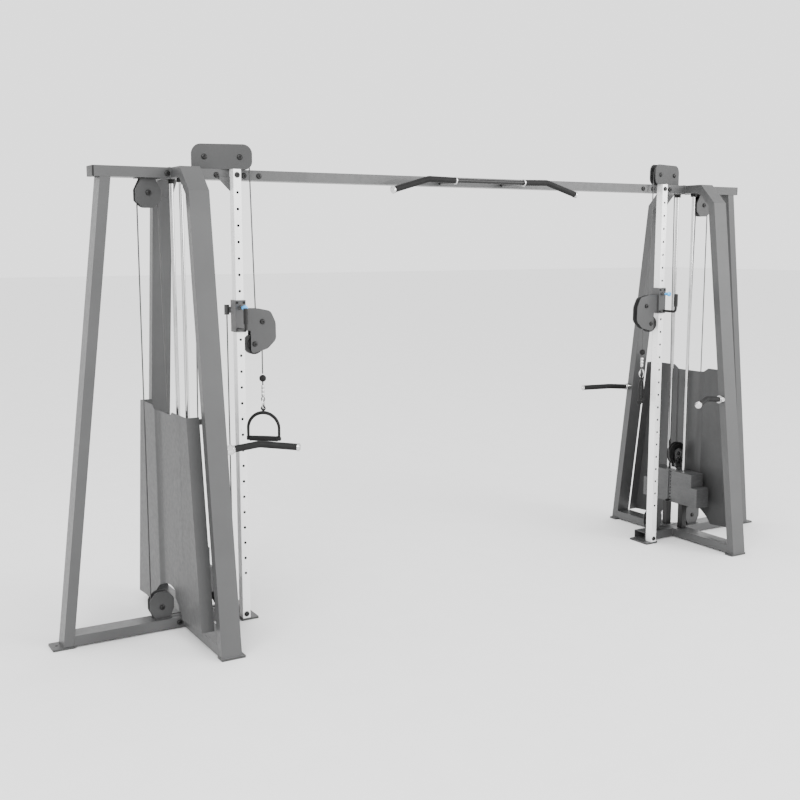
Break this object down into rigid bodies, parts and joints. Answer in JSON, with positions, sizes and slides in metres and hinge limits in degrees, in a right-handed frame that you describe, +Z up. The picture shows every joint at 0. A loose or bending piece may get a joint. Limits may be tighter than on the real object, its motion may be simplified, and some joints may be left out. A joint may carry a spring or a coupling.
{
  "type": "cable crossover machine",
  "caption": "Free-standing cable crossover: mirrored weight-stack towers with sliding pulley carriages, joined by an overhead beam with a pull-up bar.",
  "frame": {"origin": "on the floor, midway between the towers and between the front and rear feet", "axes": "+X along the overhead crossbar to the right tower, +Y away from the user, +Z up"},
  "size_m": [4.756, 1.127, 2.4025],
  "materials": {
    "frame_paint": "satin powder coat, mid grey",
    "cover_paint": "satin powder coat, darker grey",
    "shroud_paint": "satin powder coat, mid grey",
    "black_paint": "satin black",
    "plated_column": "bright plated",
    "bright_steel": "polished",
    "weight_paint": "painted, satin",
    "steel": "machined",
    "black_rubber": "matte",
    "black_plastic": "matte",
    "blue_knob": "gloss",
    "cable_jacket": "satin jacket over steel wire"
  },
  "bodies": {
    "frame": {"tower_beams": "frame_paint", "crossbar": "frame_paint", "beam_end_caps": "black_plastic", "side_frames": "frame_paint", "outer_legs": "frame_paint", "base_beams": "frame_paint", "foot_plates": "black_rubber", "columns": "plated_column", "column_gussets": "frame_paint", "frame_bolts": "black_paint", "top_pulley_plates": "cover_paint", "pulley_brackets": "cover_paint", "pulley_axles": "black_paint", "shrouds": "shroud_paint", "guide_rods": "bright_steel", "rod_collars": "black_plastic", "stack_risers": "black_paint", "grip_bars": "black_paint", "pull_up_bar": "black_paint", "rubber_grips": "black_rubber", "grip_collars": "bright_steel", "grip_end_caps": "bright_steel", "right_cable": "cable_jacket", "left_cable": "cable_jacket"},
    "right_carriage": {"right_carriage_sleeve": "frame_paint", "right_carriage_plates": "cover_paint", "right_lift_handle": "black_paint", "right_anchor_arm": "cover_paint"},
    "right_stack": {"right_weight_plates": "weight_paint", "right_selector_stem": "steel"},
    "right_pop_pin": {"right_pop_pin": "blue_knob"},
    "right_selector_pin": {"right_selector_pin": "black_paint"},
    "right_cable_end": {"right_cable_end": "black_paint"},
    "right_handle": {"right_handle": "black_rubber"},
    "right_carriage_upper_pulley": {"right_carriage_upper_pulley": "black_plastic"},
    "right_carriage_lower_pulley": {"right_carriage_lower_pulley": "black_plastic"},
    "right_top_inner_pulley": {"right_top_inner_pulley": "black_plastic"},
    "right_top_outer_pulley": {"right_top_outer_pulley": "black_plastic"},
    "right_floating_pulley": {"right_floating_pulley": "black_plastic"},
    "right_outer_top_pulley": {"right_outer_top_pulley": "black_plastic"},
    "right_outer_base_pulley": {"right_outer_base_pulley": "black_plastic"},
    "right_column_pulley": {"right_column_pulley": "black_plastic"},
    "left_carriage": {"left_carriage_sleeve": "frame_paint", "left_carriage_plates": "cover_paint", "left_lift_handle": "black_paint", "left_anchor_arm": "cover_paint"},
    "left_stack": {"left_weight_plates": "weight_paint", "left_selector_stem": "steel"},
    "left_pop_pin": {"left_pop_pin": "blue_knob"},
    "left_selector_pin": {"left_selector_pin": "black_paint"},
    "left_cable_end": {"left_cable_end": "black_paint"},
    "left_handle": {"left_handle": "black_rubber"},
    "left_carriage_upper_pulley": {"left_carriage_upper_pulley": "black_plastic"},
    "left_carriage_lower_pulley": {"left_carriage_lower_pulley": "black_plastic"},
    "left_top_inner_pulley": {"left_top_inner_pulley": "black_plastic"},
    "left_top_outer_pulley": {"left_top_outer_pulley": "black_plastic"},
    "left_floating_pulley": {"left_floating_pulley": "black_plastic"},
    "left_outer_top_pulley": {"left_outer_top_pulley": "black_plastic"},
    "left_outer_base_pulley": {"left_outer_base_pulley": "black_plastic"},
    "left_column_pulley": {"left_column_pulley": "black_plastic"}
  },
  "joints": [
    {"name": "right_carriage_slide", "type": "slide", "parent": "frame", "child": "right_carriage", "axis": [0, 0, 1], "range_m": [-0.8, 0.48], "deforming": ["right_cable"]},
    {"name": "right_stack_lift", "type": "slide", "parent": "frame", "child": "right_stack", "axis": [0, 0, 1], "range_m": [0, 0.42], "deforming": ["right_cable"]},
    {"name": "right_pop_pin_pull", "type": "slide", "parent": "right_carriage", "child": "right_pop_pin", "axis": [0, -1, 0], "range_m": [-0.012, 0.008]},
    {"name": "right_selector_pin_pull", "type": "slide", "parent": "right_stack", "child": "right_selector_pin", "axis": [-1, 0, 0], "range_m": [0, 0.09]},
    {"name": "right_handle_pull", "type": "slide", "parent": "right_carriage", "child": "right_cable_end", "axis": [0, 0, -1], "range_m": [0, 0.84]},
    {"name": "right_handle_swing", "type": "hinge", "parent": "right_cable_end", "child": "right_handle", "pos_m": [1.2859, -0.0615, 1.092], "axis": [-0.6428, 0.766, 0], "range_deg": [-30, 30]},
    {"name": "right_carriage_upper_pulley_spin", "type": "hinge", "parent": "right_carriage", "child": "right_carriage_upper_pulley", "pos_m": [1.29, -0.0615, 1.535], "axis": [0, 1, 0], "continuous": true},
    {"name": "right_carriage_lower_pulley_spin", "type": "hinge", "parent": "right_carriage", "child": "right_carriage_lower_pulley", "pos_m": [1.3326, -0.0615, 1.424], "axis": [0, 1, 0], "continuous": true},
    {"name": "right_top_inner_pulley_spin", "type": "hinge", "parent": "frame", "child": "right_top_inner_pulley", "pos_m": [1.38119, -0.04761, 2.3405], "axis": [-0.2974, 0.9548, 0], "continuous": true},
    {"name": "right_top_outer_pulley_spin", "type": "hinge", "parent": "frame", "child": "right_top_outer_pulley", "pos_m": [1.54493, 0.00339, 2.3405], "axis": [-0.2974, 0.9548, 0], "continuous": true},
    {"name": "right_floating_pulley_spin", "type": "hinge", "parent": "right_stack", "child": "right_floating_pulley", "pos_m": [1.684, 0.0135, 0.552], "axis": [0, 1, 0], "continuous": true},
    {"name": "right_outer_top_pulley_spin", "type": "hinge", "parent": "frame", "child": "right_outer_top_pulley", "pos_m": [1.83, 0.0135, 2.163], "axis": [0, 1, 0], "continuous": true},
    {"name": "right_outer_base_pulley_spin", "type": "hinge", "parent": "frame", "child": "right_outer_base_pulley", "pos_m": [1.83, 0.0135, 0.118], "axis": [0, 1, 0], "continuous": true},
    {"name": "right_column_pulley_spin", "type": "hinge", "parent": "frame", "child": "right_column_pulley", "pos_m": [1.492, 0.0135, 0.118], "axis": [0, 1, 0], "continuous": true},
    {"name": "left_carriage_slide", "type": "slide", "parent": "frame", "child": "left_carriage", "axis": [0, 0, 1], "range_m": [-0.8, 0.48], "deforming": ["left_cable"]},
    {"name": "left_stack_lift", "type": "slide", "parent": "frame", "child": "left_stack", "axis": [0, 0, 1], "range_m": [0, 0.42], "deforming": ["left_cable"]},
    {"name": "left_pop_pin_pull", "type": "slide", "parent": "left_carriage", "child": "left_pop_pin", "axis": [0, -1, 0], "range_m": [-0.012, 0.008]},
    {"name": "left_selector_pin_pull", "type": "slide", "parent": "left_stack", "child": "left_selector_pin", "axis": [1, 0, 0], "range_m": [0, 0.09]},
    {"name": "left_handle_pull", "type": "slide", "parent": "left_carriage", "child": "left_cable_end", "axis": [0, 0, -1], "range_m": [0, 0.84]},
    {"name": "left_handle_swing", "type": "hinge", "parent": "left_cable_end", "child": "left_handle", "pos_m": [-1.2859, -0.0615, 1.092], "axis": [0.6428, 0.766, 0], "range_deg": [-30, 30]},
    {"name": "left_carriage_upper_pulley_spin", "type": "hinge", "parent": "left_carriage", "child": "left_carriage_upper_pulley", "pos_m": [-1.29, -0.0615, 1.535], "axis": [0, -1, 0], "continuous": true},
    {"name": "left_carriage_lower_pulley_spin", "type": "hinge", "parent": "left_carriage", "child": "left_carriage_lower_pulley", "pos_m": [-1.3326, -0.0615, 1.424], "axis": [0, -1, 0], "continuous": true},
    {"name": "left_top_inner_pulley_spin", "type": "hinge", "parent": "frame", "child": "left_top_inner_pulley", "pos_m": [-1.38119, -0.04761, 2.3405], "axis": [-0.2974, -0.9548, 0], "continuous": true},
    {"name": "left_top_outer_pulley_spin", "type": "hinge", "parent": "frame", "child": "left_top_outer_pulley", "pos_m": [-1.54493, 0.00339, 2.3405], "axis": [-0.2974, -0.9548, 0], "continuous": true},
    {"name": "left_floating_pulley_spin", "type": "hinge", "parent": "left_stack", "child": "left_floating_pulley", "pos_m": [-1.684, 0.0135, 0.552], "axis": [0, -1, 0], "continuous": true},
    {"name": "left_outer_top_pulley_spin", "type": "hinge", "parent": "frame", "child": "left_outer_top_pulley", "pos_m": [-1.83, 0.0135, 2.163], "axis": [0, -1, 0], "continuous": true},
    {"name": "left_outer_base_pulley_spin", "type": "hinge", "parent": "frame", "child": "left_outer_base_pulley", "pos_m": [-1.83, 0.0135, 0.118], "axis": [0, -1, 0], "continuous": true},
    {"name": "left_column_pulley_spin", "type": "hinge", "parent": "frame", "child": "left_column_pulley", "pos_m": [-1.492, 0.0135, 0.118], "axis": [0, -1, 0], "continuous": true}
  ],
  "couplings": [
    {"joint": "right_handle_pull", "follows": "right_stack_lift", "ratio": 2},
    {"joint": "right_carriage_upper_pulley_spin", "follows": "right_stack_lift", "rad_per_m": 74.074},
    {"joint": "right_carriage_lower_pulley_spin", "follows": "right_stack_lift", "rad_per_m": -42.827},
    {"joint": "right_top_inner_pulley_spin", "follows": "right_stack_lift", "rad_per_m": -42.827},
    {"joint": "right_top_outer_pulley_spin", "follows": "right_stack_lift", "rad_per_m": -42.827},
    {"joint": "right_floating_pulley_spin", "follows": "right_stack_lift", "rad_per_m": 14.706},
    {"joint": "right_outer_top_pulley_spin", "follows": "right_carriage_slide", "rad_per_m": 19.608},
    {"joint": "right_outer_base_pulley_spin", "follows": "right_carriage_slide", "rad_per_m": 19.608},
    {"joint": "right_column_pulley_spin", "follows": "right_carriage_slide", "rad_per_m": 19.608},
    {"joint": "left_handle_pull", "follows": "left_stack_lift", "ratio": 2},
    {"joint": "left_carriage_upper_pulley_spin", "follows": "left_stack_lift", "rad_per_m": 74.074},
    {"joint": "left_carriage_lower_pulley_spin", "follows": "left_stack_lift", "rad_per_m": -42.827},
    {"joint": "left_top_inner_pulley_spin", "follows": "left_stack_lift", "rad_per_m": -42.827},
    {"joint": "left_top_outer_pulley_spin", "follows": "left_stack_lift", "rad_per_m": -42.827},
    {"joint": "left_floating_pulley_spin", "follows": "left_stack_lift", "rad_per_m": 14.706},
    {"joint": "left_outer_top_pulley_spin", "follows": "left_carriage_slide", "rad_per_m": 19.608},
    {"joint": "left_outer_base_pulley_spin", "follows": "left_carriage_slide", "rad_per_m": 19.608},
    {"joint": "left_column_pulley_spin", "follows": "left_carriage_slide", "rad_per_m": 19.608}
  ]
}
